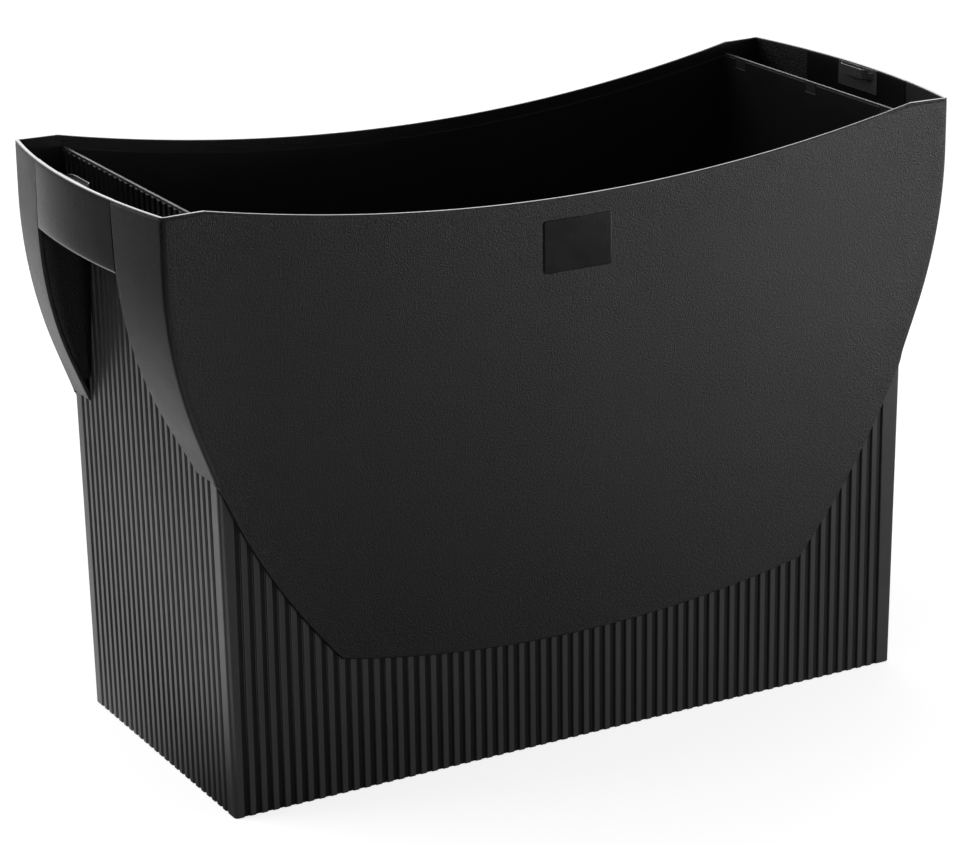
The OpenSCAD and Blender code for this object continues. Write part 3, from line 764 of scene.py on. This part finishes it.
class FILEBOX_OT_shells(Operator):
    """Make the two grained shells with their wings and webs"""
    bl_idname = "file_box.shells"
    bl_label = "Shells"

    def execute(self, context):
        form, finish = settings()
        # black polystyrene, moulded on a spark-eroded face: small pits break its sheen into specks
        grained = moulded_plastic("moulded_polystyrene_grained", finish.shell_black, roughness=0.4,
                                  grain_mm=finish.grain / MM, grain_depth_mm=0.3, polish_top=0.2)
        web = web_part(form)
        front = join(shell_part(form), web, mirrored(web, 0))
        for name, part in (("front_shell", front), ("rear_shell", turned(front))):
            use_material(add_piece(name + "_moulding", *part, "shell_plastic", name), grained)
        return {"FINISHED"}


class FILEBOX_OT_bands(Operator):
    """Make the two carrying bands"""
    bl_idname = "file_box.bands"
    bl_label = "Carrying bands"

    def execute(self, context):
        form, finish = settings()
        # black polystyrene, moulded on a fine-blasted face: soft long lights along the bow
        satin = moulded_plastic("moulded_polystyrene_satin", finish.band_black, roughness=0.3,
                                grain_mm=0.8, grain_depth_mm=0.012, polish_top=0.1)
        right = band_part(form)
        for side, part in (("right", right), ("left", mirrored(right, 0))):
            name = side + "_handle"
            use_material(add_piece(name + "_moulding", *part, "handle_plastic", name), satin)
        return {"FINISHED"}


class FILEBOX_OT_catches(Operator):
    """Finish the two lid catches inside the bands"""
    bl_idname = "file_box.catches"
    bl_label = "Lid catches"

    def execute(self, context):
        _, finish = settings()
        # black polystyrene, moulded in a roughly cut pocket: a coarse grey top that glitters
        coarse = moulded_plastic("moulded_polystyrene_coarse", finish.rib_black, roughness=0.3,
                                 grain_mm=0.7, grain_depth_mm=0.3, polish_top=0.0)
        for side in ("left", "right"):
            use_material(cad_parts[side + "_lid_catch"], coarse)
        return {"FINISHED"}


class FILEBOX_OT_plate(Operator):
    """Make the blank plate on the front"""
    bl_idname = "file_box.plate"
    bl_label = "Blank plate"

    def execute(self, context):
        form, finish = settings()
        # black polystyrene, moulded on a polished insert: darker and glossier than its shell
        smooth = moulded_plastic("moulded_polystyrene_smooth", finish.plate_black, roughness=0.27,
                                 grain_mm=1.0, grain_depth_mm=0.01, polish_top=0.0)
        plate = add_piece("front_plate_moulding", *plate_part(form), "plate_plastic", "front_plate")
        use_material(plate, smooth)
        return {"FINISHED"}


# ---------------------------------------------------------------- stage, in metres

# Camera: where it stands and how it is turned
CAMERA_PLACE = (-0.70302, -1.25526, 0.60753)
CAMERA_YAW = math.radians(29.0233)
CAMERA_PITCH = math.radians(18.5975)
CAMERA_ROLL = math.radians(-0.8317)
CAMERA_LENS = 129.162       # mm, on a sensor 36 mm wide
SENSOR_WIDTH = 36

# Lamps: name, place, the point each faces, width and height
LAMPS = (
    ("key", (-1.6, 1.0, 1.6), (0, 0, 0.12), 1.8, 1.6),
    ("back", (1.5, 2.8, 1.05), (0, 0, 0.2), 2.6, 0.8),
    ("front", (0.66, -0.52, 0.17), (0.1, 0, 0.17), 0.4, 0.3),
)

FLOOR_WHITE = "e6e6e6"
FLOOR_HALF = 12.0           # half its side
FLOOR_SINK = 0.0002         # below the object's foot, so that no two faces lie in one
CAMERA_GLOW = 0.75          # what the camera alone sees on it besides the lamps' light

# What the plastic's sheen sees of the floor: between which X or Y each part of it fades in, and
# how bright it is
SHEET_Y, SHEET_GLOW = (-0.06, 0.1), 0.9             # white sheet behind the box
CORNER_X, CORNER_GLOW = (-0.13, -0.19), 1.3         # strip at the box's front left corner
CORNER_NEAR_Y, CORNER_FAR_Y = (-0.1, -0.2), (-0.5, -0.35)
SHEET_END_X = (-0.45, -0.35)                        # left end of both
DIM_X, DIM_Y = (-0.35, 0.35), (0.0, 0.3)            # dim rest, darkest at the front left
DIM_SPREAD, DIM_LEAST = 0.11, 0.02

# The same of the surroundings, as parts of a direction
SKY_BACK_Y, SKY_BACK_X, SKY_GLOW = (0.0, 0.6), (-0.7, -0.2), 0.88
SKY_DIM_X, SKY_DIM_Y = (-0.7, 0.5), (-0.2, 0.2)
SKY_FILL = 0.22             # light for everything but the sheen and the camera


def add_camera():
    """Camera at the photograph's angle: yaw about the upright axis, pitch down, then roll."""
    yaw, pitch, roll = CAMERA_YAW, CAMERA_PITCH, CAMERA_ROLL
    level = math.cos(pitch)
    ahead = np.array([math.sin(yaw) * level, math.cos(yaw) * level, -math.sin(pitch)])
    right = np.cross(ahead, [0, 0, 1])
    right /= np.linalg.norm(right)
    up = np.cross(right, ahead)
    right, up = (math.cos(roll) * right + math.sin(roll) * up,
                 -math.sin(roll) * right + math.cos(roll) * up)
    data = bpy.data.cameras.new("photo_view")
    data.lens, data.sensor_width, data.sensor_fit = CAMERA_LENS, SENSOR_WIDTH, "HORIZONTAL"
    camera = bpy.data.objects.new("photo_view", data)
    bpy.context.scene.collection.objects.link(camera)
    axes = np.stack([right, up, -ahead], 1)
    camera.matrix_world = Matrix([[*axes[i], CAMERA_PLACE[i]] for i in range(3)] + [[0, 0, 0, 1]])
    bpy.context.scene.camera = camera


def add_softbox(name, place, target, width, height, power):
    """Large rectangular lamp that faces a point."""
    data = bpy.data.lights.new(name, "AREA")
    data.shape, data.size, data.size_y, data.energy = "RECTANGLE", width, height, power
    lamp = bpy.data.objects.new(name, data)
    bpy.context.scene.collection.objects.link(lamp)
    ahead = np.subtract(target, place)
    lamp.rotation_mode = "QUATERNION"
    lamp.rotation_quaternion = Vector(ahead).to_track_quat("-Z", "Y")
    lamp.location = place


def mirrored_rays(tree, path):
    """1 for the rays that a sheen or a clear piece sends out, 0 for all others."""
    return add_node(tree, MATH, LARGER, path["Is Glossy Ray"], path["Is Transmission Ray"])


def dim_rest(tree, x, y, x_range, y_range):
    """Faint light of the studio's dim part, which is least at the front left."""
    right = add_node(tree, RANGE, SMOOTH, x, *x_range)
    back = add_node(tree, RANGE, SMOOTH, y, *y_range)
    away = add_node(tree, MATH, LARGER, right, back)
    return add_node(tree, MATH, MULTIPLY_ADD, away, DIM_SPREAD, DIM_LEAST)


def floor_sheet(tree):
    """How bright the plastic's sheen sees the floor at each place: a white sheet behind the box and
    a strip at its front left corner, which both end on the left, and a dim floor elsewhere."""
    place = add_node(tree, PLACE).outputs["Object"]
    x, y, _ = add_node(tree, PARTS, Vector=place).outputs
    behind = add_node(tree, RANGE, SMOOTH, y, *SHEET_Y)
    beside = add_node(tree, RANGE, SMOOTH, x, *CORNER_X)
    near = add_node(tree, RANGE, SMOOTH, y, *CORNER_NEAR_Y)
    far = add_node(tree, RANGE, SMOOTH, y, *CORNER_FAR_Y)
    corner = add_node(tree, MATH, MULTIPLY, beside, add_node(tree, MATH, MULTIPLY, near, far))
    brighter = add_node(tree, MATH, LARGER,
                        add_node(tree, MATH, MULTIPLY, behind, SHEET_GLOW),
                        add_node(tree, MATH, MULTIPLY, corner, CORNER_GLOW))
    end = add_node(tree, RANGE, SMOOTH, x, *SHEET_END_X)
    lit = add_node(tree, MATH, MULTIPLY, end, brighter)
    return add_node(tree, MATH, ADD, lit, dim_rest(tree, x, y, DIM_X, DIM_Y))


def add_floor():
    """Plain white floor: a matt sheet that takes the shadow and gives the camera some light of its
    own, while the plastic's sheen sees floor_sheet in its place."""
    half = FLOOR_HALF
    mesh = bpy.data.meshes.new("floor")
    corners = [(-half, -half), (half, -half), (half, half), (-half, half)]
    mesh.from_pydata([(x, y, -FLOOR_SINK) for x, y in corners], [], [(0, 1, 2, 3)])
    floor = bpy.data.objects.new("floor", mesh)
    bpy.context.scene.collection.objects.link(floor)
    material = bpy.data.materials.new("matt_white_floor")
    material.use_nodes = True
    tree = material.node_tree
    tree.nodes.clear()
    matt = add_node(tree, "ShaderNodeBsdfDiffuse", Color=(*linear(FLOOR_WHITE), 1))
    path = add_node(tree, "ShaderNodeLightPath").outputs
    mirrors = mirrored_rays(tree, path)
    camera_glow = add_node(tree, MATH, MULTIPLY, path["Is Camera Ray"], CAMERA_GLOW)
    mirror_glow = add_node(tree, MATH, MULTIPLY, mirrors, floor_sheet(tree))
    strength = add_node(tree, MATH, ADD, camera_glow, mirror_glow)
    glow = add_node(tree, "ShaderNodeEmission", Color=(1, 1, 1, 1), Strength=strength)
    both = add_node(tree, "ShaderNodeAddShader", None, matt, glow)
    mix = add_node(tree, "ShaderNodeMixShader", None, mirrors, both, glow)
    add_node(tree, "ShaderNodeOutputMaterial", Surface=mix)
    mesh.materials.append(material)


def add_world():
    """White behind for the camera and for the plastic's sheen, a dim studio elsewhere, which is
    darkest at the front left, and an even dim light for everything else."""
    world = bpy.data.worlds.new("studio")
    bpy.context.scene.world = world
    world.use_nodes = True
    tree = world.node_tree
    tree.nodes.clear()
    path = add_node(tree, "ShaderNodeLightPath").outputs
    way = add_node(tree, PLACE).outputs["Generated"]
    x, y, _ = add_node(tree, PARTS, Vector=way).outputs
    back = add_node(tree, RANGE, SMOOTH, y, *SKY_BACK_Y)
    behind = add_node(tree, MATH, MULTIPLY, back, add_node(tree, RANGE, SMOOTH, x, *SKY_BACK_X))
    rest = dim_rest(tree, x, y, SKY_DIM_X, SKY_DIM_Y)
    studio = add_node(tree, MATH, MULTIPLY_ADD, behind, SKY_GLOW, rest)
    mirrors = mirrored_rays(tree, path)
    seen = add_node(tree, MATH, LARGER, mirrors, path["Is Camera Ray"])
    fill = add_node(tree, MATH, MULTIPLY, add_node(tree, MATH, SUBTRACT, 1, seen), SKY_FILL)
    glow = add_node(tree, MATH, MULTIPLY_ADD, mirrors, studio, fill)
    strength = add_node(tree, MATH, ADD, path["Is Camera Ray"], glow)
    sky = add_node(tree, "ShaderNodeBackground", Color=(1, 1, 1, 1), Strength=strength)
    add_node(tree, "ShaderNodeOutputWorld", Surface=sky)


class FILEBOX_OT_stage(Operator):
    """Make the floor, the soft lights, the surroundings and the camera"""
    bl_idname = "file_box.stage"
    bl_label = "Stage"

    def execute(self, context):
        _, finish = settings()
        add_camera()
        add_floor()
        add_world()
        for name, *lamp in LAMPS:
            add_softbox(name + "_light", *lamp, getattr(finish, name + "_power"))
        context.scene.view_settings.view_transform = "Standard"
        return {"FINISHED"}


class FILEBOX_PT_panel(Panel):
    """File box: pieces, stage, sizes and finishes"""
    bl_idname = "FILEBOX_PT_panel"
    bl_label = "File Box"
    bl_space_type = "VIEW_3D"
    bl_region_type = "UI"
    bl_category = "File Box"

    def draw(self, context):
        for step in STEPS:
            self.layout.operator(step.bl_idname)
        for group in (context.scene.file_box_form, context.scene.file_box_finish):
            for name in group.__annotations__:
                self.layout.prop(group, name)


STEPS = (FILEBOX_OT_bin, FILEBOX_OT_rails, FILEBOX_OT_shells, FILEBOX_OT_bands, FILEBOX_OT_catches,
         FILEBOX_OT_plate, FILEBOX_OT_stage)
CLASSES = (FileBoxForm, FileBoxFinish, *STEPS, FILEBOX_PT_panel)


def register():
    for cls in CLASSES:
        bpy.utils.register_class(cls)
    bpy.types.Scene.file_box_form = PointerProperty(type=FileBoxForm)
    bpy.types.Scene.file_box_finish = PointerProperty(type=FileBoxFinish)


def unregister():
    del bpy.types.Scene.file_box_finish
    del bpy.types.Scene.file_box_form
    for cls in reversed(CLASSES):
        bpy.utils.unregister_class(cls)


def main():
    register()
    bpy.ops.file_box.bin()
    bpy.ops.file_box.rails()
    bpy.ops.file_box.shells()
    bpy.ops.file_box.bands()
    bpy.ops.file_box.catches()
    bpy.ops.file_box.plate()
    bpy.ops.file_box.stage()


if __name__ == "__main__":
    main()
